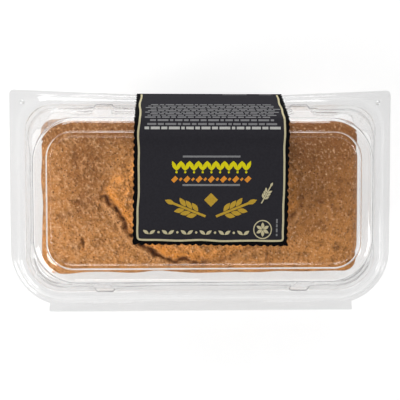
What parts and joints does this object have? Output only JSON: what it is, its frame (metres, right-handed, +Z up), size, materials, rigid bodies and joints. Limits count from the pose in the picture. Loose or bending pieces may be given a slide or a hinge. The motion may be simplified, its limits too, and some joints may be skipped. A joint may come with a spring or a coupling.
{
  "type": "packed pound cake loaf",
  "caption": "Golden pound cake loaf in a shut clear clamshell with a stepped flange and folded hinge strip, sealed at the back by a dark paper label.",
  "frame": {"origin": "centre of the pack's footprint, on the surface it stands on", "axes": "+X along the pack's long side, +Y towards the opening edge that the label seals, +Z up"},
  "size_m": [0.236, 0.1375, 0.0786],
  "materials": {
    "crust": "baked crust, softly shiny over fine bumps; stands in for cake",
    "clear_sheet": "clear glossy thermoformed sheet",
    "label_paper": "satin coated paper, printed black"
  },
  "bodies": {
    "root": {"cake": "crust", "clamshell": "clear_sheet", "label": "label_paper"}
  },
  "joints": []
}
